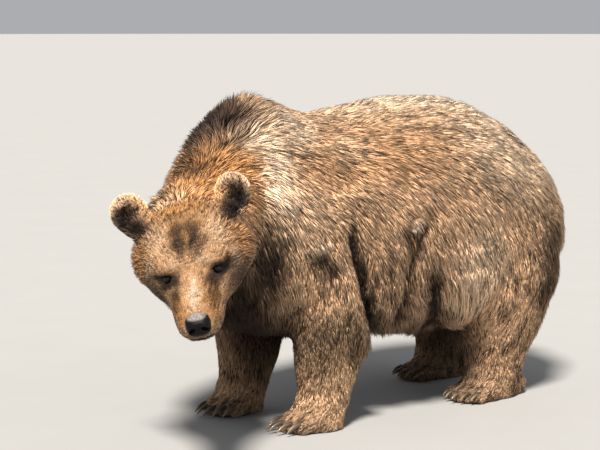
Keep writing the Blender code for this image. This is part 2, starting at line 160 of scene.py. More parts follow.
# The body is smoothed a little more than the head, and keeps fewer faces.
place = in_head(points_of(hide.data))
off_head = within(0.13, 0.24, place[:, 1])
for name, weights in (("body", off_head), ("face", 1 - off_head)):
    group = hide.vertex_groups.new(name=name)
    for level in range(11):
        chosen = np.flatnonzero(np.round(weights * 10) == level).tolist()
        group.add(chosen, level / 10, "REPLACE")
for name, factor, rounds in (("body", 0.5, 30), ("face", 0.4, 6)):
    step = hide.modifiers.new("smooth " + name, "SMOOTH")
    step.vertex_group, step.factor, step.iterations = name, factor, rounds
step = hide.modifiers.new("thin", "DECIMATE")
step.vertex_group, step.vertex_group_factor = "body", 1.0
step.ratio = FACES_KEPT
bake_modifiers(hide)
hide.vertex_groups.clear()


def claw_points(which, hand, number):
    return points_of(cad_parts[f"claw_{which}_{hand}_{number}"].data)


def toe_end(claw):
    """The middle of the end of a claw that sits in its toe."""
    return claw[claw[:, 1] > claw[:, 1].max() - 0.006].mean(0)


# Where each claw leaves its toe: four paws of five claws.
CLAW_ROOTS = np.array([
    [toe_end(claw_points(which, hand, number)) for number in range(1, 6)]
    for which in ("fore", "hind")
    for hand in ("left", "right")
])

# The eyes, nose, mouth and toes get faces small enough for lids, lips and creases.
EYE = {side: in_head(np.array(middle("eye_" + hand))) for side, hand in SIDES.items()}
EYE_RADIUS = 0.0135
NOSE_TIP = np.array((0.0, -0.222, -0.05))
MOUTH_LEVEL, TOE_REACH = -0.092, 0.026
for reach in (0.038, 0.024):
    bm = bmesh.new()
    bm.from_mesh(hide.data)
    place = in_head(np.array([v.co for v in bm.verts]))
    near = np.zeros(len(place), bool)
    for side in SIDES:
        near |= np.linalg.norm(place - EYE[side], axis=1) < reach
    along_mouth = (place[:, 1] > -0.25) & (place[:, 1] < -0.02)
    near |= along_mouth & (np.abs(place[:, 2] - MOUTH_LEVEL) < reach / 2)
    if reach < 0.03:
        where = np.array([v.co for v in bm.verts])
        for spot in CLAW_ROOTS.reshape(-1, 3) + (0, 0.014, 0.004):
            near |= np.linalg.norm(where - spot, axis=1) < TOE_REACH
    bm.edges.ensure_lookup_table()
    chosen = [e for e in bm.edges if near[e.verts[0].index] and near[e.verts[1].index]]
    bmesh.ops.subdivide_edges(bm, edges=chosen, cuts=1, use_grid_fill=True)
    bmesh.ops.triangulate(bm, faces=bm.faces)
    bm.to_mesh(hide.data)
    bm.free()

edges = read(hide.data.edges, "vertices", 2, np.int32)
degree = np.bincount(edges.ravel(), minlength=len(hide.data.vertices))


def spread(values, rounds, share=0.5):
    """Values on the hide's points, evened out along its edges."""
    values = np.array(values, float).reshape(len(degree), -1)
    share = np.reshape(share, (-1, 1))
    for _ in range(rounds):
        around = np.empty_like(values)
        for column in range(values.shape[1]):
            v = values[:, column]
            around[:, column] = np.bincount(edges[:, 0], v[edges[:, 1]], len(v))
            around[:, column] += np.bincount(edges[:, 1], v[edges[:, 0]], len(v))
        values += share * (around / degree[:, None] - values)
    return values


# Which part of the bear each point of the hide belongs to.
corners, faces, owner = [], [], []
for index, node in enumerate(FLESH):
    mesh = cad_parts[node].data
    start = len(corners)
    corners += [v.co.copy() for v in mesh.vertices]
    faces += [tuple(start + k for k in p.vertices) for p in mesh.polygons]
    owner += [index] * len(mesh.polygons)
nearest = BVHTree.FromPolygons(corners, faces)
skin_points = points_of(hide.data)
part_of = np.array([owner[nearest.find_nearest(Vector(p))[2]] for p in skin_points])


def belongs(*nodes):
    return np.isin(part_of, [FLESH.index(n) for n in nodes])


on_trunk = belongs("trunk")
is_head = belongs("head", "lower_jaw")
is_ear = belongs("ear_left", "ear_right")
is_hind = belongs("hindleg_left", "hindleg_right")
is_leg = is_hind | belongs("foreleg_left", "foreleg_right")
is_paw = belongs("forepaw_left", "forepaw_right", "hindpaw_left", "hindpaw_right")
is_tail = belongs("tail")
is_neck = belongs("neck")

# Hair length and coat depth, in metres. Both are shortest on the muzzle and the paws.
HAIR_OF_PARTS = (
    (on_trunk, 0.068, 0.02),
    (is_neck, 0.066, 0.022),
    (is_paw, 0.021, 0.006),
    (is_tail, 0.058, 0.011),
    (is_ear, 0.018, 0.004),
)
SCAR, WHORL = (0.24, -0.29, 0.568), (0.269, 0.062, 0.638)  # on its left shoulder and flank
place = in_head(skin_points)
height = skin_points[:, 2]
hair, depth = np.zeros(len(skin_points)), np.zeros(len(skin_points))
for part, part_hair, part_depth in HAIR_OF_PARTS:
    hair[part], depth[part] = part_hair, part_depth
low = within(0.6, 0.15, height)
hair[is_leg] = (0.058 - 0.02 * low)[is_leg]
depth[is_leg] = (0.019 - 0.009 * low)[is_leg]
back = within(-0.03, 0.24, place[:, 1])
cheek = within(0.085, 0.145, np.abs(place[:, 0])) * within(0.02, 0.1, place[:, 1])
throat = within(-0.09, -0.13, place[:, 2]) * within(-0.06, 0.1, place[:, 1])
nape = within(0.12, 0.23, place[:, 1])
face_hair = 0.0095 + 0.015 * back + 0.024 * cheek + 0.02 * throat + 0.02 * nape
face_depth = 0.002 + 0.007 * back + 0.005 * cheek + 0.006 * throat + 0.006 * nape
from_cup = (np.abs(place) - (0.148, 0.122, 0.13)) / (0.042, 0.022, 0.05)
in_cup = is_ear & (np.linalg.norm(from_cup, axis=1) < 1)
hair[in_cup] = 0.024
hair[is_head], depth[is_head] = face_hair[is_head], face_depth[is_head]
hair[on_trunk] *= 1 + 0.3 * within(0.44, 0.3, height[on_trunk])
behind_leg = within(0.1, 0.8, normals_of(hide.data)[:, 1]) * within(0.12, 0.25, height)
hair[is_leg] *= 1 + 0.45 * behind_leg[is_leg]
hair, depth = spread(np.stack([hair, depth], 1), 14).T
for spot, shortened in (((0.269, 0.055, 0.628), 0.7), (SCAR, 0.35)):
    hair *= 1 - shortened * near_to(skin_points, spot, 0.048)
for side in SIDES:
    far = np.linalg.norm(place - EYE[side], axis=1)
    hair *= 0.45 + 0.55 * within(0.015, 0.045, far)
    depth *= within(0.012, 0.045, far)
far = np.linalg.norm((place - NOSE_TIP) / (1, 1.1, 1), axis=1)
hair *= 0.5 + 0.5 * within(0.03, 0.08, far)
depth *= within(0.02, 0.07, far)
depth *= within(0.002, 0.03, height)

for _ in range(6):
    points = points_of(hide.data) - normals_of(hide.data) * depth[:, None] / 6
    move_points(hide.data, spread(points, 1, np.clip(depth * 20, 0, 0.4)))


def ripple(points, wavelength, seed, waves=5):
    """A smooth random vector for each point, which changes over this distance."""
    rng = np.random.default_rng(seed)
    made = np.zeros((len(points), 3))
    for _ in range(waves):
        way = rng.normal(size=3)
        way *= 2 * math.pi / wavelength / np.linalg.norm(way) * rng.uniform(0.7, 1.4)
        turn = rng.uniform(0, 2 * math.pi, 3)
        made += np.sin((points @ way)[:, None] + turn)
    return made / math.sqrt(waves)


def distance_to_line(points, line):
    best = np.full(len(points), 9.0)
    line = np.asarray(line, float)
    for a, b in zip(line, line[1:]):
        t = np.clip((points - a) @ (b - a) / ((b - a) @ (b - a)), 0, 1)
        best = np.minimum(best, np.linalg.norm(points - a - t[:, None] * (b - a), axis=1))
    return best


# Folds of loose hide, seen from the side: behind the elbow, down the flank, before the thigh.
FOLDS = (
    # half width at its top and at its foot, depth, course as (along, up)
    (0.009, 0.028, 0.036, (
        (-0.155, 0.72), (-0.16, 0.64), (-0.15, 0.56),
        (-0.118, 0.47), (-0.08, 0.39), (-0.02, 0.31),
    )),
    (0.009, 0.014, 0.01, ((-0.104, 0.62), (-0.096, 0.54), (-0.075, 0.47))),
    (0.008, 0.013, 0.011, ((-0.04, 0.58), (-0.03, 0.5), (-0.01, 0.42))),
    (0.008, 0.012, 0.009, ((0.01, 0.55), (0.006, 0.47), (0.012, 0.4))),
    (0.01, 0.02, 0.026, (
        (0.13, 0.69), (0.092, 0.6), (0.06, 0.53), (0.052, 0.44), (0.066, 0.36),
    )),
    (0.008, 0.026, 0.026, (
        (0.112, 0.57), (0.142, 0.48), (0.19, 0.39), (0.26, 0.31), (0.33, 0.26), (0.39, 0.21),
    )),
    (0.01, 0.012, 0.008, ((0.315, 0.64), (0.305, 0.56), (0.29, 0.5))),
)
PLEAT_LENGTH, PLEAT_DEPTH = 0.04, 0.0085
points, normals = points_of(hide.data), normals_of(hide.data)
outside = within(0.13, 0.22, np.abs(points[:, 0] - MIDLINE)) * within(
    -0.1, 0.35, normals[:, 0] * np.sign(points[:, 0] - MIDLINE)
)
folded = np.zeros(len(points))
for top_width, foot_width, deep, line in FOLDS:
    course = [(0, y, z) for y, z in line]
    off = distance_to_line(points * (0, 1, 1), course)
    drop = within(line[0][1] + 0.02, line[0][1] - 0.12, points[:, 2])
    half_width = top_width + (foot_width - top_width) * drop
    crease = deep * (0.45 + 0.55 * drop) * np.exp(-((off / half_width) ** 2))
    folded += crease - 0.25 * deep * np.exp(-(((off - 2.4 * half_width) / half_width) ** 2))
sway = 2.2 * np.sin(9 * points[:, 2])
pleats = np.sin((points[:, 1] + 0.1 * points[:, 2]) * 2 * math.pi / PLEAT_LENGTH + sway)
loose = within(-0.13, -0.09, points[:, 1]) * within(0.15, 0.1, points[:, 1])
loose *= within(0.33, 0.4, points[:, 2]) * within(0.64, 0.56, points[:, 2])
on_right = within(0.02, -0.02, points[:, 0] - MIDLINE)
folded = (folded + PLEAT_DEPTH * pleats * loose) * outside * (1 - 0.62 * on_right)

# The thigh swells behind its front edge.
edge_of_thigh = np.interp(points[:, 2], (0.26, 0.39, 0.57, 0.7), (0.33, 0.19, 0.112, 0.13))
behind = points[:, 1] - edge_of_thigh
swell = within(0.0, 0.05, behind) * within(0.26, 0.09, behind) * within(0.68, 0.52, points[:, 2])
folded -= 0.015 * swell * outside * within(0.2, 0.46, points[:, 2])
thigh = near_to(points[:, 1:], (0.395, 0.365), (0.085, 0.095)) * outside
folded -= 0.014 * thigh
# The creases and the pleats also darken the hair: painted shade.
in_crease = within(0.003, 0.018, folded) * (1 - 0.45 * on_right)
pleat_shade = within(0.2, 0.9, pleats) * loose * outside * (1 - 0.5 * on_right)

# The cups of the ears, and a crease between each two toes.
CUP_DEPTH, TOE_CREASE_DEPTH, TOE_CREASE_WIDTH = 0.006, 0.012, 0.0085
TOE_CREASE = ((-0.016, -0.022), (0.004, 0.004), (0.026, 0.016), (0.055, 0.026))  # along, up
ear_cup = near_to(np.abs(in_head(points)), (0.146, 0.126, 0.118), (0.03, 0.03, 0.04), 1.5)
folded += CUP_DEPTH * (is_ear * ear_cup * within(-0.2, 0.2, -(normals @ HEAD_AXES)[:, 1]))
between_toes = np.zeros(len(points))
for row in CLAW_ROOTS:
    for a, b in zip(row, row[1:]):
        off = distance_to_line(points, [(a + b) / 2 + (0, y, z) for y, z in TOE_CREASE])
        between_toes = np.maximum(between_toes, np.exp(-((off / TOE_CREASE_WIDTH) ** 2)))
between_toes *= is_paw
folded += TOE_CREASE_DEPTH * between_toes
# The creases between the toes get painted shade too.
in_crease = np.maximum(in_crease, between_toes)
hair *= 1 - 0.45 * in_crease - 0.15 * between_toes
lumps = ripple(points, 0.16, 3)[:, 0] * 0.0022 + ripple(points, 0.07, 4)[:, 0] * 0.001
lumps *= within(0.01, 0.018, depth)
move_points(hide.data, points - normals * (folded + lumps)[:, None])

# The brows stand out over the eyes, and the hide sinks at their inner corners.
FACE_FORMS = (
    # centre, reach and shift, each as (out, back, up)
    ((0.062, -0.012, 0.04), (0.034, 0.03, 0.016), (0.001, -0.0105, 0.0005)),  # brow
    ((0.052, -0.034, 0.004), (0.014, 0.02, 0.016), (0.0, 0.006, 0.0)),  # inner corner
    ((0.096, -0.004, -0.006), (0.02, 0.03, 0.014), (-0.004, 0.002, 0.0)),  # outer corner
    ((0.08, -0.03, -0.036), (0.03, 0.035, 0.02), (0.003, -0.003, 0.0)),  # cheekbone
    ((0.05, -0.09, -0.028), (0.016, 0.05, 0.022), (-0.004, 0.0, 0.0)),  # muzzle's side
    ((0.0, -0.03, 0.04), (0.016, 0.05, 0.04), (0.0, 0.003, -0.0015)),  # forehead's groove
    ((0.0, -0.192, -0.018), (0.044, 0.018, 0.016), (0.0, -0.0005, -0.009)),  # above the nose
)
place = in_head(points_of(hide.data))
for centre, reach, shift in FACE_FORMS:
    near = near_to(both_sides(place), centre, reach)
    outwards = np.column_stack([np.sign(place[:, 0]), np.ones((len(place), 2))])
    place += near[:, None] * np.array(shift) * outwards

# Lids: the hide clings to the eyeball, and opens in a slanted oval in front of it.
LID_WIDE, LID_TALL, LID_SLANT = 0.86, 0.4, 0.12  # half angles in radians, and their slant
bare = np.zeros(len(place))
for side in SIDES:
    outward = unit(np.array((side * 0.34, -0.93, 0.12)))
    across = unit(np.cross((side * 0.1, 0.1, 1.0), outward)) * side
    upward = np.cross(outward, across) * side
    ray = place - EYE[side]
    far = np.linalg.norm(ray, axis=1)
    ahead = unit(ray) @ outward
    wide = np.arctan2(unit(ray) @ across, ahead) / LID_WIDE
    tall = np.arctan2(unit(ray) @ upward, ahead) / LID_TALL
    oval = np.hypot(wide, tall + LID_SLANT * wide)
    oval[ahead < 0] = 9
    close = within(0.034, 0.02, far) * within(0.0, 0.25, ahead)
    rim = EYE_RADIUS * (0.9 + 0.22 * within(0.86, 1.08, oval))
    fade = within(1.9, 1.15, oval) * close
    place += unit(ray) * ((rim - far) * fade)[:, None]
    bare = np.maximum(bare, within(2.2, 1.5, oval) * close)

# Lips: a crease runs from under the nose back to the corner of the mouth, between two rolls.
MOUTH = (
    (0.0, -0.204, -0.094), (0.03, -0.198, -0.095), (0.05, -0.175, -0.096),
    (0.062, -0.13, -0.098), (0.07, -0.085, -0.104), (0.074, -0.05, -0.11),
)
CREASE_DEPTH, CREASE_WIDTH = 0.0055, 0.0045
ROLL_HEIGHT, ROLL_WIDTH, ROLL_AWAY = 0.0015, 0.006, 0.01
for side in SIDES:
    off = distance_to_line(place, np.array(MOUTH) * (side, 1, 1))
    inward = unit(np.stack([-place[:, 0], np.full(len(place), 0.02), 0 * place[:, 0]], 1))
    pressed = CREASE_DEPTH * np.exp(-((off / CREASE_WIDTH) ** 2))
    pressed -= ROLL_HEIGHT * np.exp(-(((off - ROLL_AWAY) / ROLL_WIDTH) ** 2))
    place += inward * pressed[:, None]
    bare = np.maximum(bare, within(0.0085, 0.004, off))
move_points(hide.data, from_head(place))
SOLE_CLEARANCE = 0.0003
settled = spread(points_of(hide.data), 2, 0.35)
settled[:, 2] = np.maximum(settled[:, 2], SOLE_CLEARANCE)
move_points(hide.data, settled)

# ------------------------------------ markings and painted shade of hide and coat
# Soft marks of dark, pale and rusty hair on a golden brown bear, and dark painted shade under the
# body and head, round the eyes and in the creases. The hide and every lock read the same marks.
# The marks of the body and the head are on both sides, and the others on one.

DARK, PALE, RUST = 0, 1, 2
BODY_MARKS = (
    # colour, centre as (out from the midline, along, up), reach along the same axes, strength
    (DARK, (0.0, -0.475, 0.95), (0.135, 0.12, 0.125), 0.97),  # front of the hump
    (DARK, (0.0, -0.45, 0.995), (0.11, 0.07, 0.062), 0.58),  # its top
    (PALE, (0.15, -0.29, 0.96), (0.08, 0.09, 0.08), 0.75),  # behind the hump
    (PALE, (0.0, 0.02, 1.02), (0.17, 0.26, 0.09), 0.34),  # saddle
    (PALE, (0.0, 0.42, 1.01), (0.2, 0.3, 0.12), 0.85),  # croup
    (PALE, (0.25, 0.55, 0.86), (0.14, 0.26, 0.19), 0.62),
    (PALE, (0.375, 0.33, 0.5), (0.1, 0.13, 0.16), 0.44),  # thigh
    (PALE, (0.22, -0.12, 0.88), (0.08, 0.08, 0.05), 0.3),
    (PALE, (0.29, -0.34, 0.7), (0.1, 0.09, 0.1), 0.22),  # shoulder
    (RUST, (0.24, -0.05, 0.86), (0.14, 0.35, 0.09), 0.3),
    (DARK, (0.36, 0.00, 0.5), (0.12, 0.18, 0.12), 0.22),  # lower flank
    (DARK, (0.36, 0.44, 0.72), (0.1, 0.13, 0.09), 0.2),
    (DARK, (0.0, 0.0, 0.33), (0.34, 0.5, 0.12), 0.88),  # belly: painted shade under the body
    (DARK, (0.2, -0.22, 0.26), (0.22, 0.22, 0.15), 0.34),  # forearms
    (DARK, (0.2, 0.62, 0.1), (0.22, 0.3, 0.15), 0.26),  # hocks
    (DARK, (0.37, 0.7, 0.5), (0.1, 0.1, 0.24), 0.82),  # back of the thighs: painted shade on the side away from the key light
    (DARK, (0.0, -0.4, 0.4), (0.22, 0.12, 0.18), 0.93),  # chest: painted shade under the head
    (DARK, (0.12, 0.93, 0.52), (0.26, 0.1, 0.24), 0.65),  # seat: painted shade
    (DARK, (0.08, 0.55, 0.26), (0.12, 0.36, 0.24), 0.85),  # inside of the thighs: painted shade
    (DARK, (0.2, 0.15, -0.02), (0.4, 1.2, 0.085), 0.42),  # paws
    (DARK, (0.1, -0.16, 0.26), (0.075, 0.14, 0.2), 0.82),  # inside of the forelegs: painted shade
)
NECK_MARKS = (
    # centres as (to the bear's left, along, up), because the neck bends to one side
    (DARK, (0.01, -0.64, 0.83), (0.08, 0.07, 0.055), 0.85),  # nape
    (DARK, (-0.065, -0.58, 0.855), (0.07, 0.062, 0.055), 0.84),
    (PALE, (0.05, -0.43, 0.915), (0.055, 0.048, 0.042), 0.96),  # cape on the shoulder
    (PALE, (0.095, -0.395, 0.868), (0.055, 0.05, 0.06), 0.97),
    (PALE, (0.12, -0.4, 0.79), (0.06, 0.055, 0.085), 0.96),
    (RUST, (0.06, -0.48, 0.85), (0.05, 0.045, 0.04), 0.55),
    (RUST, (0.15, -0.69, 0.79), (0.12, 0.07, 0.06), 0.85),  # behind the crown
    (RUST, (0.03, -0.58, 0.8), (0.18, 0.14, 0.14), 0.88),
    (DARK, (0.145, -0.46, 0.545), (0.06, 0.08, 0.09), 0.92),  # throat, behind the cheek: dark hair, and painted shadow of the head
    (DARK, (0.06, -0.5, 0.44), (0.12, 0.09, 0.1), 0.94),
    (DARK, (0.162, -0.438, 0.65), (0.075, 0.058, 0.08), 0.92),
    (DARK, (0.166, -0.42, 0.57), (0.07, 0.062, 0.075), 0.9),
)
LONE_MARKS = (
    # a scar on the left shoulder and a whorl on the left flank, which have no twin
    (DARK, SCAR, (0.08, 0.037, 0.031), 0.99),
    (DARK, (0.23, -0.252, 0.53), (0.07, 0.022, 0.03), 0.92),
    (PALE, (0.235, -0.292, 0.612), (0.06, 0.028, 0.011), 0.8),
    (DARK, (0.269, 0.036, 0.626), (0.06, 0.034, 0.042), 0.99),
    (PALE, WHORL, (0.06, 0.023, 0.022), 0.99),
    (RUST, (0.269, 0.06, 0.6), (0.06, 0.02, 0.012), 0.5),
)
HEAD_MARKS = (
    # centres in the head's own frame, as (out, back, up)
    (DARK, (0.024, 0.016, 0.094), (0.029, 0.068, 0.056), 0.93),  # brow patches
    (DARK, (0.0, 0.055, 0.125), (0.034, 0.035, 0.025), 0.7),
    (DARK, (0.0, -0.01, 0.072), (0.022, 0.03, 0.02), 0.35),
    (RUST, (0.0, 0.01, 0.09), (0.009, 0.05, 0.045), 0.6),
    (RUST, (0.0, -0.03, 0.02), (0.16, 0.17, 0.12), 0.42),  # the whole face
    (RUST, (0.0, 0.06, 0.11), (0.09, 0.075, 0.05), 0.6),  # forehead
    (PALE, (0.078, 0.045, 0.09), (0.032, 0.045, 0.038), 0.24),  # temples
    (PALE, (0.042, -0.03, 0.045), (0.022, 0.02, 0.014), 0.35),  # brows
    (RUST, (0.0, 0.15, 0.14), (0.13, 0.055, 0.05), 0.95),  # crown
    (RUST, (0.135, 0.09, 0.02), (0.05, 0.05, 0.07), 0.65),  # cheeks
    (PALE, (0.125, 0.000, -0.01), (0.02, 0.05, 0.06), 0.3),
    (DARK, (0.07, -0.024, 0.003), (0.037, 0.044, 0.033), 0.98),  # round the eyes: dark hair, and painted shade in the sockets
    (DARK, (0.096, -0.006, 0.002), (0.032, 0.036, 0.024), 0.85),
    (DARK, (0.046, -0.06, -0.01), (0.019, 0.04, 0.028), 0.86),  # below their inner corners
    (DARK, (0.052, -0.115, -0.018), (0.024, 0.085, 0.038), 0.68),  # muzzle
    (RUST, (0.046, -0.13, -0.03), (0.03, 0.09, 0.04), 0.9),
    (DARK, (0.122, 0.015, -0.055), (0.042, 0.062, 0.048), 0.76),  # cheeks, low: painted shade where they face down
    (PALE, (0.0, -0.13, 0.01), (0.012, 0.08, 0.026), 0.72),  # bridge
    (DARK, (0.0, -0.195, -0.108), (0.06, 0.035, 0.02), 0.75),  # lips
    (DARK, (0.06, -0.12, -0.102), (0.02, 0.08, 0.013), 0.7),
    (PALE, (0.06, -0.06, -0.128), (0.05, 0.05, 0.03), 0.3),
    (DARK, (0.154, 0.136, 0.126), (0.047, 0.038, 0.058), 0.99),  # inside of the ears
    (DARK, (0.128, 0.124, 0.086), (0.042, 0.036, 0.03), 0.96),
    (PALE, (0.15, 0.16, 0.205), (0.06, 0.05, 0.018), 0.7),  # rims of the ears
    (PALE, (0.215, 0.16, 0.155), (0.016, 0.045, 0.055), 0.65),
    (PALE, (0.088, 0.16, 0.17), (0.016, 0.035, 0.045), 0.6),
)


def marks_and_shade(points, crease_shade):
    """How dark, pale and rusty the hair is at each point, from 0 to 1. Dark includes painted shade,
    and creases get painted shade.
    """
    clear = np.ones((len(points), 3))
    ragged = ripple(points, 0.045, 31) * 0.011 + ripple(points, 0.014, 32) * 0.004
    ragged *= 0.58 + 0.42 * within(0.1, 0.3, in_head(points)[:, 1])[:, None]
    steady = points + 0.3 * ragged
    points = points + ragged
    body, head = both_sides(points - (MIDLINE, 0, 0)), both_sides(in_head(points))
    layers = (body, BODY_MARKS), (points, NECK_MARKS), (steady, LONE_MARKS), (head, HEAD_MARKS)
    for where, marks in layers:
        for colour, centre, reach, strength in marks:
            clear[:, colour] *= 1 - strength * near_to(where, centre, reach, 1.7)
    made = 1 - clear
    made[:, DARK] *= 1 - 0.95 * near_to(steady, WHORL, (0.06, 0.019, 0.018))
    # Painted shade in the creases and between the toes.
    made[:, DARK] = 1 - (1 - made[:, DARK]) * (1 - 0.92 * crease_shade)
    return made


# ------------------------------------ the lie of the coat
# Hair grows back from the nose over the skull, down the neck and cheeks, back and down along
# the trunk, straight down the legs, and forward again over the toes.

points, normals = points_of(hide.data), normals_of(hide.data)
place = in_head(points)
height = points[:, 2]
out = np.sign(points[:, 0] - MIDLINE)


def arrows(x, y, z):
    """A vector for each point of the hide, from numbers or from values on its points."""
    return np.column_stack(np.broadcast_arrays(x, y, z, height)[:3])


fall = np.interp(height, (0.3, 0.5, 0.62, 0.72, 0.85, 1.0), (5.0, 4.5, 2.6, 1.3, 0.7, 0.3))
lie = arrows(0.1 * out, 1.0, -fall)
rear = within(0.6, 0.85, points[:, 1])[:, None]
lie = lie * (1 - rear) + arrows(0.1 * out, 0.4, -1.3) * rear
chest = within(-0.34, -0.46, points[:, 1])[:, None] * within(0.8, 0.6, height)[:, None]
lie = lie * (1 - chest) + arrows(0.1 * out, 0.25, -1.2) * chest
neck_fall = np.interp(height, (0.5, 0.7, 0.9), (-1.4, -0.9, -0.35))
lie[is_neck] = arrows(-0.45, 0.8, neck_fall)[is_neck]
swept = np.interp(height, (0.1, 0.45, 0.6, 0.75), (0.05, 0.05, 0.5, 0.9))
swept = np.where(is_hind, swept - 0.15, swept)
lie[is_leg] = arrows(0.0, swept, -1.1)[is_leg]
front_of_forepaw = within(-0.16, -0.22, points[:, 1])
front_of_hindpaw = within(0.6, 0.52, points[:, 1])
front_of_paw = np.where(points[:, 1] < 0.25, front_of_forepaw, front_of_hindpaw)
lie[is_paw] = arrows(0.0, 0.2 - 1.4 * front_of_paw, -0.8)[is_paw]
lie[is_tail] = (0, -0.35, -1)
below_mouth = within(-0.05, -0.1, place[:, 2])
on_cheek = within(0.07, 0.13, np.abs(place[:, 0]))
from_nose = unit(place - (0, -0.245, -0.055)) + arrows(0.0, 0.5 * below_mouth, -0.55 * on_cheek)
lie[is_head] = (from_nose @ HEAD_AXES.T)[is_head]
ear_base = arrows(np.sign(place[:, 0]) * 0.122, 0.146, 0.03)
lie[is_ear] = (unit(place - ear_base) @ HEAD_AXES.T)[is_ear]
lie = unit(spread(unit(lie), 10))
lie += 0.16 * ripple(points, 0.11, 11) + 0.1 * ripple(points, 0.045, 12)
lie -= normals * (lie * normals).sum(1)[:, None]
lie = unit(spread(unit(lie), 2))
marks = marks_and_shade(points, in_crease)

# How light the hair is. The face, the ears and the scar are darker, and the thigh is lighter.
# The throat under the head and the creases and pleats get painted shade.
light = 1.06 - 0.46 * is_head * within(0.3, 0.05, place[:, 1]) - 0.76 * in_cup
light *= (1 - 0.42 * in_crease) * (1 - 0.42 * pleat_shade)
painted_neck_shade = within(-0.3, -0.44, points[:, 1]) * within(0.66, 0.48, height)
light *= 1 - 0.5 * painted_neck_shade * ~(is_head | is_ear)
light += 0.55 * thigh
light *= 1 - 0.55 * near_to(points, SCAR, (0.08, 0.034, 0.027))
light[is_ear] *= 0.84
light = spread(light, 4)[:, 0]
bare = np.maximum(bare, within(0.01, 0.003, height) * is_paw)


# ------------------------------------ how a finish is wired
# Sums on sockets add their Math nodes, and any other node comes from add_node.


def add_node(nodes, kind, settings, sockets, output=0):
    """A new node with its settings made, then its sockets filled: the Wire of one output."""
    made = nodes.new("ShaderNode" + kind)
    for key, value in settings.items():
        if key == "stops":
            set_stops(made.color_ramp.elements, value)
        else:
            setattr(made, key, value)
    for slot, value in sockets.items():
        connect(value, made.inputs[slot])
    return Wire(made.outputs[output])


def set_stops(elements, stops):
    while len(elements) < len(stops):
        elements.new(0.5)
    for element, (position, colour) in zip(elements, stops):
        element.position, element.color = position, (*colour, 1)


def connect(value, slot):
    if isinstance(value, Wire):
        slot.node.id_data.links.new(value.socket, slot)
    elif slot.type == "RGBA" and len(value) == 3:
        slot.default_value = (*value, 1)
    else:
        slot.default_value = value


class Wire:
    """A shader socket that can be added, multiplied and taken away like a number."""

    def __init__(self, socket):
        self.socket = socket

    def node(self, kind, settings, *values):
        return add_node(self.socket.id_data.nodes, kind, settings, dict(enumerate(values)))

    def __add__(self, other):
        return self.node("Math", {"operation": "ADD"}, self, other)

    __radd__ = __add__

    def __mul__(self, other):
        return self.node("Math", {"operation": "MULTIPLY"}, self, other)

    __rmul__ = __mul__

    def __sub__(self, other):
        return self.node("Math", {"operation": "SUBTRACT"}, self, other)

    def __rsub__(self, other):
        return self.node("Math", {"operation": "SUBTRACT"}, other, self)

    def __pow__(self, other):
        return self.node("Math", {"operation": "POWER"}, self, other)

    def clamped(self):
        return self.node("Clamp", {}, self)


class Finish:
    """A Principled material whose nodes are added in words."""

    def __init__(self, name, sockets):
        self.material = bpy.data.materials.new(name)
        self.material.use_nodes = True
        self.nodes = self.material.node_tree.nodes
        self.set(sockets)

    def set(self, sockets):
        for slot, value in sockets.items():
            connect(value, self.nodes["Principled BSDF"].inputs[slot])

    def node(self, kind, settings, sockets, output=0):
        return add_node(self.nodes, kind, settings, sockets, output)

    def attribute(self, name, output="Color"):
        return self.node("Attribute", {"attribute_name": name}, {}, output)

    def split(self, colour):
        made = self.node("SeparateColor", {}, {0: colour}).socket.node
        return [Wire(out) for out in made.outputs]

    def blend(self, share, first, second):
        return self.node("Mix", {"data_type": "RGBA"}, {0: share, 6: first, 7: second}, 2)

    def scaled(self, colour, by):
        return self.node("VectorMath", {"operation": "SCALE"}, {0: colour, "Scale": by})

    def pattern(self, kind, settings, sockets):
        """A texture in the piece's own coordinates, which are the room's."""
        where = self.node("TexCoord", {}, {}, "Object")
        return self.node(kind, settings, {"Vector": where, **sockets})

    def noise(self, scale, detail):
        return self.pattern("TexNoise", {}, {"Scale": scale, "Detail": detail, "Roughness": 0.6})

    def bump(self, height, strength, distance):
        sockets = {"Height": height, "Strength": strength, "Distance": distance}
        return self.node("Bump", {}, sockets)


# Hair colours from root to tip, for the bear's own brown and for each kind of mark. The dark colour
# also paints shade.
GOLDEN = ((0.15, 0.086, 0.048), (0.56, 0.35, 0.206), (0.84, 0.625, 0.43))
SABLE_AND_SHADE = ((0.006, 0.004, 0.004), (0.016, 0.0095, 0.0085), (0.042, 0.027, 0.024))
STRAW = ((0.3, 0.2, 0.13), (0.82, 0.64, 0.46), (0.98, 0.87, 0.72))
FOX = ((0.13, 0.052, 0.016), (0.56, 0.26, 0.085), (0.8, 0.47, 0.2))


def coat_colour(finish):
    """The colour of hair, from the marks at its root and the place along it."""
    lock = finish.split(finish.attribute("lock"))
    mark = finish.split(finish.attribute("marks"))
    along, tone = lock[0], lock[1]
    lower = (along * 2.0).clamped()
    upper = (along * 2.0 - 1.0).clamped()
    colour = None
    kinds = (None, GOLDEN), (mark[RUST], FOX), (mark[PALE], STRAW), (mark[DARK], SABLE_AND_SHADE)
    for share, (at_root, midway, at_tip) in kinds:
        shade = finish.blend(upper, finish.blend(lower, at_root, midway), at_tip)
        colour = shade if share is None else finish.blend(share, colour, shade)
    fleck = finish.noise(420.0, 2.0)
    brightness = tone * (fleck * 0.6 + 1.6) + 0.06
    return finish.scaled(colour, brightness)


hide_finish = Finish("hide", {"Specular IOR Level": 0.12})
fur_shade = coat_colour(hide_finish)
bare_share = hide_finish.attribute("marks", "Alpha")
grain = hide_finish.noise(900.0, 3.0)
lip = hide_finish.blend(grain, (0.012, 0.009, 0.009), (0.04, 0.03, 0.028))
fur_shade = hide_finish.scaled(fur_shade, grain * 1.1 + 0.35)
hide_finish.set({
    "Base Color": hide_finish.blend(bare_share, fur_shade, lip),
    "Roughness": 0.82 - bare_share * 0.42,
    "Normal": hide_finish.bump(grain, 0.5, 0.0008),
})


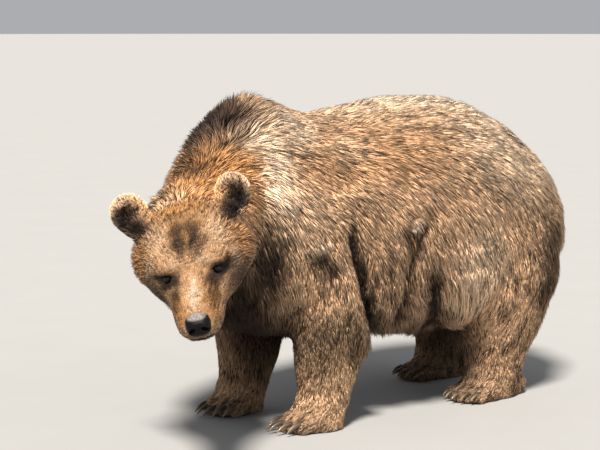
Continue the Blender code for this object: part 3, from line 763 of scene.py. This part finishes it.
def paint(mesh, name, values):
    layer = mesh.attributes.new(name, "FLOAT_COLOR", "POINT")
    layer.data.foreach_set("color", np.asarray(values, np.float32).ravel())


def smooth_faces(mesh):
    mesh.polygons.foreach_set("use_smooth", np.ones(len(mesh.polygons), bool))


# The hide has the colour of a lock a third of the way along, darkened with painted shade as if
# under the coat.
HIDE_ALONG, HIDE_SHADED_TONE = 0.36, 0.42
paint(hide.data, "marks", np.column_stack([marks, bare]))
rest = np.ones((len(light), 2))
paint(hide.data, "lock", np.column_stack([HIDE_ALONG * rest[:, 0], HIDE_SHADED_TONE * light, rest]))
hide.data.materials.clear()
hide.data.materials.append(hide_finish.material)
smooth_faces(hide.data)
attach(hide, "root")
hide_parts(*FLESH)

# ==================================== THE COAT
# Solid tapering locks of hair, each rooted in the hide and closed at both ends. They lie along
# the body, overlap like thatch and draw together at their tips in small clumps.

triangles = read(hide.data.polygons, "vertices", 3, np.int32)
first, second, third = (points[triangles[:, k]] for k in range(3))
face_area = np.linalg.norm(np.cross(second - first, third - first), axis=1) / 2
normals = normals_of(hide.data)

# Spacing of the roots and width of the locks follow the length of the hair.
LENGTHS = (0.004, 0.008, 0.014, 0.022, 0.035, 0.06)
spacing = np.interp(hair, LENGTHS, (0.0019, 0.0021, 0.0028, 0.0037, 0.0044, 0.0048))
breadth = np.interp(hair, LENGTHS, (0.0014, 0.0018, 0.0022, 0.0025, 0.0027, 0.0029))
spacing[is_ear] *= 0.74

coat_finish = Finish("coat", {"Roughness": 0.6, "Specular IOR Level": 0.1})
coat_finish.set({"Base Color": coat_colour(coat_finish)})

# A lock is a root, a ring of three points at its bend, and a tip: six triangles, and no hole.
LOCK_FACES = np.array([(1, 0, 2), (2, 0, 3), (3, 0, 1), (1, 2, 4), (2, 3, 4), (3, 1, 4)])
PATCH = np.array([(0.5, 0), (0, 0.4), (0.5, 0.4), (1, 0.4), (0.5, 1)])
BEND, PATCH_SIZE, CLUMP_SIZE = 0.42, 0.003, 8
THICK_SHARE, PROUD_SHARE, ROOT_DEPTH = 0.12, 0.05, 0.0025
TIP_CLEARANCE, BEND_CLEARANCE = 0.002, 0.004


def coat(name, chosen, axis, seed, slot="body_coat"):
    """Locks on the chosen faces of the hide. The bake's map unwraps them round the axis."""
    rng = np.random.default_rng(seed)
    gap = spacing[triangles].mean(1)
    covered = 1 - bare[triangles].mean(1)
    weight = np.cumsum(np.where(chosen & (covered > 0.6), face_area / gap**2, 0))
    count = int(weight[-1])
    pick = np.searchsorted(weight, (np.arange(count) + rng.random(count)) * weight[-1] / count)
    pick = np.minimum(pick, len(triangles) - 1)
    share = rng.random((count, 2))
    share = np.where(share.sum(1)[:, None] > 1, 1 - share, share)
    share = np.column_stack([1 - share.sum(1), share])

    def at(values):
        return (values[triangles[pick]] * share.reshape(count, 3, *[1] * (values.ndim - 1))).sum(1)

    root, normal, way = at(points), unit(at(normals)), unit(at(lie))
    thick = rng.random(count) < THICK_SHARE
    length = at(hair) * rng.uniform(0.7, 1.12, count) * np.where(thick, 1.12, 1)
    rise = at(depth) * rng.uniform(0.34, 0.82, count) + 0.0008
    half = at(breadth) * rng.uniform(0.29, 0.47, count) * np.where(thick, 1.45, 1)
    rise = np.where(rng.random(count) < PROUD_SHARE, rise * 1.3, rise)
    mess = 0.1 + 0.13 * within(0.55, 0.35, root[:, 2]) * (slot == "leg_coat")
    way = way + rng.normal(0, 1, (count, 3)) * mess[:, None]
    way = unit(way - normal * (way * normal).sum(1)[:, None])

    # One lock in eight leads a clump, and the tips of its neighbours lean towards its own.
    leaders = np.arange(0, count, CLUMP_SIZE)
    tree = KDTree(len(leaders))
    for k, leader in enumerate(leaders):
        tree.insert(root[leader], k)
    tree.balance()
    clump = np.array([tree.find(p)[1] for p in root])
    leader = leaders[clump]
    reach = np.sqrt(np.maximum(length**2 - rise**2, (0.5 * length) ** 2))
    tip = root + way * reach[:, None] + normal * rise[:, None]
    pull = rng.uniform(0.1, 0.5, count)[:, None]
    tip += (tip[leader] - tip) * pull
    start = root - normal * ROOT_DEPTH
    bend = start + (tip - start) * BEND + normal * (rise * 0.34)[:, None]
    tip[:, 2] = np.maximum(tip[:, 2], TIP_CLEARANCE)
    bend[:, 2] = np.maximum(bend[:, 2], BEND_CLEARANCE)
    start[:, 2] = np.maximum(start[:, 2], TIP_CLEARANCE)

    run = unit(tip - start)
    upward = unit(normal - run * (normal * run).sum(1)[:, None])
    side = np.cross(run, upward)
    rolled = rng.normal(0, 0.4, count)[:, None]
    side, upward = (
        side * np.cos(rolled) + upward * np.sin(rolled),
        upward * np.cos(rolled) - side * np.sin(rolled),
    )
    wide = half[:, None]
    corners = np.stack(
        [start, bend + side * wide, bend - side * wide, bend + upward * wide * 0.8, tip], 1
    )
    loops = (np.arange(count) * 5)[:, None, None] + LOCK_FACES
    mesh = bpy.data.meshes.new(name)
    mesh.vertices.add(count * 5)
    mesh.vertices.foreach_set("co", corners.astype(np.float32).ravel())
    mesh.loops.add(loops.size)
    mesh.loops.foreach_set("vertex_index", loops.astype(np.int32).ravel())
    mesh.polygons.add(count * 6)
    mesh.polygons.foreach_set("loop_start", np.arange(0, count * 18, 3, dtype=np.int32))
    mesh.update(calc_edges=True)

    # One small patch for each lock, at its root's place on an unwrap round the axis.
    local = (root - np.array(axis.translation)) @ np.array(axis.to_3x3())
    turn = np.arctan2(local[:, 0], local[:, 2])
    flat = np.stack([turn, local[:, 1]], 1)
    flat = (flat - flat.min(0)) / np.maximum(np.ptp(flat, axis=0), 1e-6)
    spots = (0.002 + flat * 0.996)[:, None] + (PATCH - 0.5) * PATCH_SIZE
    layer = mesh.uv_layers.new(name="OFBake")
    layer.data.foreach_set("uv", spots.reshape(-1, 2)[loops.ravel()].astype(np.float32).ravel())

    # The creases' painted shade reaches the locks through their marks.
    colours = np.column_stack([marks_and_shade(root, at(in_crease)), np.zeros(count)])
    paint(mesh, "marks", np.repeat(colours, 5, axis=0))
    shade = 0.14 * rng.random(len(leaders))[clump] + 0.52 * rng.random(count) ** 0.55 + 0.08
    # Streaks run with the hair: one fine ripple, added up along the lie of each lock.
    deepest, apart = (0.36, 0.012) if slot == "leg_coat" else (0.28, 0.011)
    upstream = np.arange(6) * 0.01
    streaks = sum(ripple(root - way * far, apart, 21, 14)[:, 0] for far in upstream)
    shade += np.where(streaks < 0, deepest, 0.05) * streaks + 0.145
    # light brings the painted shade of the throat, creases and pleats into each lock.
    shade = (shade + 0.07 * ripple(root, 0.12, 22)[:, 0]) * at(light)
    lock = np.ones((count, 5, 4))
    lock[:, :, 0] = np.array((0, BEND, BEND, BEND, 1)) * rng.uniform(0.8, 1.1, count)[:, None]
    lock[:, :, 1] = np.clip(shade, 0.05, 1.0)[:, None]
    paint(mesh, "lock", lock.reshape(-1, 4))
    smooth_faces(mesh)
    mesh.materials.append(coat_finish.material)
    piece = link(name, mesh)
    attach(piece, "root")
    return piece


kind = part_of[triangles[:, 0]]
centre = points[triangles].mean(1)
on_left = centre[:, 0] > MIDLINE


def faces_of(*nodes):
    return np.isin(kind, [FLESH.index(n) for n in nodes])


# Lines that the bake's map unwraps the coat round, and where the trunk's coat is divided.
SPINE = Matrix.Translation((MIDLINE, 0, 0.6))
NECK_AXIS = Matrix.Translation((0.1, -0.65, 0.68)) @ Matrix.Rotation(math.radians(35), 4, "Z")
front = centre[:, 1] < 0.12
for side, hand in SIDES.items():
    half = faces_of("trunk") & (on_left == (side > 0))
    coat(f"coat_shoulder_{hand}", half & front, SPINE, seed=10 + side)
    coat(f"coat_rump_{hand}", half & ~front, SPINE, seed=20 + side)
    for leg in ("foreleg", "hindleg"):
        post = Matrix.Translation(middle(f"{leg}_{hand}")) @ Matrix.Rotation(math.pi / 2, 4, "X")
        coat(f"coat_{leg}_{hand}", faces_of(f"{leg}_{hand}"), post, seed=30 + side, slot="leg_coat")
coat("coat_neck", faces_of("neck"), NECK_AXIS, seed=40)
coat("coat_tail", faces_of("tail"), Matrix.Translation(middle("tail")), seed=41)
face_front = in_head(centre)[:, 1] < 0.06
on_face = faces_of("head", "lower_jaw")
for side, hand in SIDES.items():
    half = on_face & face_front & ((in_head(centre)[:, 0] > 0) == (side > 0))
    coat(f"coat_face_{hand}", half, HEAD, seed=50 + side, slot="face_coat")
coat("coat_crown", on_face & ~face_front, HEAD, seed=53, slot="face_coat")
coat("coat_ears", faces_of("ear_left", "ear_right"), HEAD, seed=54, slot="ear_coat")
for seed, paw, along in ((60, "forepaw", -0.2), (61, "hindpaw", 0.6)):
    between = Matrix.Translation((MIDLINE, along, 0.05))
    coat(f"coat_{paw}s", faces_of(f"{paw}_left", f"{paw}_right"), between, seed, "leg_coat")

# ==================================== THE EYES
# Small dark brown eyes under a clear wet cornea. Each is a ball whose front stands a little
# proud, with pupil, iris and rim as rings of colour round its gaze.

IRIS = (
    # angle from the gaze in radians, colour
    (0.0, (0.001, 0.001, 0.001)), (0.25, (0.001, 0.001, 0.001)), (0.29, (0.013, 0.006, 0.003)),
    (0.55, (0.008, 0.004, 0.002)), (0.66, (0.002, 0.001, 0.001)), (0.8, (0.006, 0.004, 0.004)),
)
eye_finish = Finish("eye", {
    "Roughness": 0.3, "Specular IOR Level": 0.0, "Coat Weight": 0.42, "Coat Roughness": 0.03,
})
iris = eye_finish.node("ValToRGB", {"stops": IRIS}, {0: eye_finish.attribute("ring", "Fac")})
iris_streaks = eye_finish.noise(1600.0, 4.0)
eye_finish.set({"Base Color": eye_finish.scaled(iris, iris_streaks + 0.5)})


def dressed(name, bm, measure, values, finish):
    """A piece from a bmesh, with one value at each point, which its finish reads."""
    mesh = bpy.data.meshes.new(name)
    bm.to_mesh(mesh)
    bm.free()
    layer = mesh.attributes.new(measure, "FLOAT", "POINT")
    layer.data.foreach_set("value", np.array(values, np.float32))
    smooth_faces(mesh)
    mesh.materials.append(finish.material)
    piece = link(name, mesh)
    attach(piece, "root")
    return piece


for side, hand in SIDES.items():
    bm = bmesh.new()
    bmesh.ops.create_uvsphere(bm, u_segments=48, v_segments=32, radius=EYE_RADIUS)
    gaze = unit(np.array((side * 0.3, -0.94, 0.05)))
    angles = []
    for vertex in bm.verts:
        angle = math.acos(max(-1, min(1, float(unit(np.array(vertex.co)) @ gaze))))
        vertex.co *= 1 + 0.085 * math.exp(-((angle / 0.55) ** 4))
        angles.append(angle)
        vertex.co = Vector(from_head(np.array(vertex.co) + EYE[side]))
    eyeball = dressed("eyeball_" + hand, bm, "ring", angles, eye_finish)
    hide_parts("eye_" + hand)

# ==================================== THE NOSE
# A bare black pad of pebbled leather with comma-shaped nostrils and a groove down its middle.
# It is rings of points from the muzzle to its tip, into which nostrils and groove are pressed.

NOSE_STATIONS = np.array((
    # ahead of the eyes, top, underside, half width
    (0.16, -0.03, -0.066, 0.024),
    (0.18, -0.023, -0.072, 0.033),
    (0.194, -0.0205, -0.077, 0.0355),
    (0.206, -0.022, -0.0795, 0.0345),
    (0.214, -0.0275, -0.0785, 0.032),
    (0.22, -0.034, -0.075, 0.027),
    (0.2235, -0.041, -0.068, 0.0175),
    (0.2245, -0.052, -0.058, 0.004),
))
NOSE_RINGS, NOSE_SIDES = 46, 72
NOSTRIL = ((0.015, -0.226, -0.0525), (0.0235, -0.219, -0.06), (0.0325, -0.206, -0.0605))
NOSTRIL_DEPTH, WING_HEIGHT, GROOVE_DEPTH = 0.017, 0.0016, 0.0022
along = np.linspace(0, len(NOSE_STATIONS) - 1, NOSE_RINGS)
known = np.arange(len(NOSE_STATIONS))
rows = np.stack([np.interp(along, known, column) for column in NOSE_STATIONS.T], 1)
turn = np.linspace(0, 2 * math.pi, NOSE_SIDES, endpoint=False)
c, s = np.cos(turn), np.sin(turn)
rings = []
for ahead, top, under, wide in rows:
    x = wide * np.sign(c) * np.abs(c) ** 0.8
    z = (top + under) / 2 + (top - under) / 2 * np.sign(s) * np.abs(s) ** 0.8
    rings.append(np.stack([x, np.full(NOSE_SIDES, -ahead), z], 1))
pad = np.concatenate([*rings, [[0, -rows[0, 0], -0.046]], [[0, -rows[-1, 0], -0.055]]])
for side in SIDES:
    off = distance_to_line(pad, np.array(NOSTRIL) * (side, 1, 1))
    opening = 0.0058 - 0.1 * np.clip(np.abs(pad[:, 0]) - 0.015, 0, 0.02)
    dent = np.exp(-((off / opening) ** 4))
    pad += dent[:, None] * np.array((-side * 0.15, 1.0, 0.25)) * NOSTRIL_DEPTH
    wing = (pad - np.array((side * 0.019, -0.222, -0.0445))) / (1.3, 2, 0.7)
    pad[:, 1] -= WING_HEIGHT * np.exp(-((np.linalg.norm(wing, axis=1) / 0.006) ** 2))
groove = np.exp(-((pad[:, 0] / 0.0013) ** 2)) * within(-0.045, -0.052, pad[:, 2])
pad[:, 1] += GROOVE_DEPTH * groove * (pad[:, 1] < -0.2)


def solid_of(corners, faces):
    bm = bmesh.new()
    made = [bm.verts.new(p) for p in corners]
    for face in faces:
        bm.faces.new([made[k] for k in face])
    bmesh.ops.recalc_face_normals(bm, faces=bm.faces)
    return bm


def wall_faces(start, ring_count, sides):
    """Faces between rings of points, which follow one another from start on."""
    for ring in range(start, start + (ring_count - 1) * sides, sides):
        for k in range(sides):
            n = (k + 1) % sides
            yield ring + k, ring + n, ring + n + sides, ring + k + sides


faces = list(wall_faces(0, NOSE_RINGS, NOSE_SIDES))
last = (NOSE_RINGS - 1) * NOSE_SIDES
for k in range(NOSE_SIDES):
    n = (k + 1) % NOSE_SIDES
    faces += [(n, k, len(pad) - 2), (last + k, last + n, len(pad) - 1)]

# The top of the pad is pale: dry dust on the leather, and a painted sheen where the light falls.
LEATHER_BLACK, LEATHER_DUST_AND_SHEEN = (0.003, 0.0026, 0.0026), (0.27, 0.24, 0.225)
leather = Finish("nose_leather", {"Specular IOR Level": 0.13})
pebbles = leather.pattern(
    "TexVoronoi", {"feature": "SMOOTH_F1"}, {"Scale": 620.0, "Smoothness": 0.3}
)
mottle = leather.noise(210.0, 4.0)
dust_and_sheen = (leather.attribute("dry", "Fac") * (mottle * 3.0 - 0.75)).clamped()
leather.set({
    "Base Color": leather.blend(dust_and_sheen * 0.85, LEATHER_BLACK, LEATHER_DUST_AND_SHEEN),
    "Roughness": 0.38 + dust_and_sheen * 0.25,
    "Normal": leather.bump(1.0 - pebbles, 0.55, 0.0006),
})
# The pale top of the pad: dry dust and painted sheen.
dry = within(-0.0295, -0.024, pad[:, 2])
nose_pad = dressed("nose_pad", solid_of(from_head(pad), faces), "dry", dry, leather)
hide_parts("nose")

# ==================================== THE CLAWS
# Five blunt curved claws of brown horn on each paw, paler and worn towards the tip. They grow
# from under the hair of the toes, longer on the forepaws than on the hind ones.

CLAW_RINGS, CLAW_SIDES, CLAW_HIDDEN = 16, 14, 0.016
horn = Finish("claw_horn", {"Coat Weight": 0.3})
streak = horn.noise(260.0, 4.0)
worn = (horn.attribute("along", "Fac") ** 1.6 * 0.7 + streak * 0.35 - 0.1).clamped()
horn.set({
    "Base Color": horn.blend(worn, (0.022, 0.014, 0.009), (0.26, 0.185, 0.11)),
    "Roughness": 0.28 + streak * 0.25,
    "Normal": horn.bump(streak, 0.3, 0.0005),
})
for which, thick in (("fore", 0.008), ("hind", 0.0072)):
    for hand in SIDES.values():
        corners, faces, along = [], [], []
        for number in range(1, 6):
            start = len(corners)
            claw = claw_points(which, hand, number)
            base, tip = toe_end(claw), claw[claw[:, 1] < claw[:, 1].min() + 0.001].mean(0)
            forward = unit((tip - base) * (1, 1, 0))
            base -= forward * CLAW_HIDDEN
            crest = base + forward * np.linalg.norm(tip - base) * 0.55 + (0, 0, 0.002)
            for t in np.linspace(0, 1, CLAW_RINGS):
                spot = base * (1 - t) ** 2 + 2 * crest * t * (1 - t) + tip * t**2
                run = unit(2 * (crest - base) * (1 - t) + 2 * (tip - crest) * t)
                across = unit(np.cross(run, (0, 0, 1)))
                upward = np.cross(across, run)
                r = thick * (1 - 0.86 * t**2.6)
                for k in range(CLAW_SIDES):
                    a = 2 * math.pi * k / CLAW_SIDES
                    sideways = across * r * 0.72 * math.cos(a)
                    corners.append(spot + sideways + upward * r * math.sin(a))
                    along.append(t)
            faces += wall_faces(start, CLAW_RINGS, CLAW_SIDES)
            faces.append(range(start, start + CLAW_SIDES)[::-1])
            faces.append(range(len(corners) - CLAW_SIDES, len(corners)))
        name = f"claws_{which}_{hand}"
        claws = dressed(name, solid_of(corners, faces), "along", along, horn)
        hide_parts(*[f"claw_{which}_{hand}_{k}" for k in range(1, 6)])

# ==================================== THE ROOM
# A plain pale floor that runs to the horizon, a high soft key light from the bear's left and
# front, and a weak fill.

room = Finish("floor", {"Roughness": 0.9})
speck = room.noise(3.0, 2.0)
room.set({"Base Color": room.blend(speck, (0.29, 0.287, 0.279), (0.312, 0.309, 0.301))})
bm = bmesh.new()
bmesh.ops.create_circle(bm, cap_ends=True, segments=64, radius=120)
mesh = bpy.data.meshes.new("floor")
bm.to_mesh(mesh)
bm.free()
mesh.materials.append(room.material)
floor = link("floor", mesh)

AZIMUTH, ELEVATION, DISTANCE = math.radians(50), math.radians(6.5), 6.0
back = Vector((
    math.sin(AZIMUTH) * math.cos(ELEVATION),
    -math.cos(AZIMUTH) * math.cos(ELEVATION),
    math.sin(ELEVATION),
))
aim = Vector((-0.155, -0.059, 0.611))
camera = bpy.data.objects.new("camera", bpy.data.cameras.new("camera"))
bpy.context.scene.collection.objects.link(camera)
camera.data.lens, camera.data.sensor_width = 110.8, 36
camera.location = aim + back * DISTANCE
camera.rotation_mode = "QUATERNION"
camera.rotation_quaternion = (-back).to_track_quat("-Z", "Y")
bpy.context.scene.camera = camera


def lamp(name, direction, softness, strength, colour):
    made = bpy.data.objects.new(name, bpy.data.lights.new(name, "SUN"))
    bpy.context.scene.collection.objects.link(made)
    made.location = Vector((0, 0, 0.6)) + Vector(direction) * 5
    made.rotation_mode = "QUATERNION"
    made.rotation_quaternion = (-Vector(direction)).to_track_quat("-Z", "Y")
    made.data.angle = math.radians(softness)
    made.data.energy, made.data.color = strength, colour


lamp("key", (0.42, -0.47, 0.78), 11, 8.8, (1.0, 0.95, 0.88))
lamp("fill", (0.9, 0.4, 0.5), 40, 0.4, (0.92, 0.96, 1.0))
world = bpy.data.worlds.new("studio")
world.use_nodes = True
sky = world.node_tree.nodes["Background"].inputs
sky["Color"].default_value = (0.93, 0.95, 1.0, 1)
sky["Strength"].default_value = 0.44
bpy.context.scene.world = world
bpy.context.scene.view_settings.view_transform = "Standard"

bpy.context.view_layer.update()
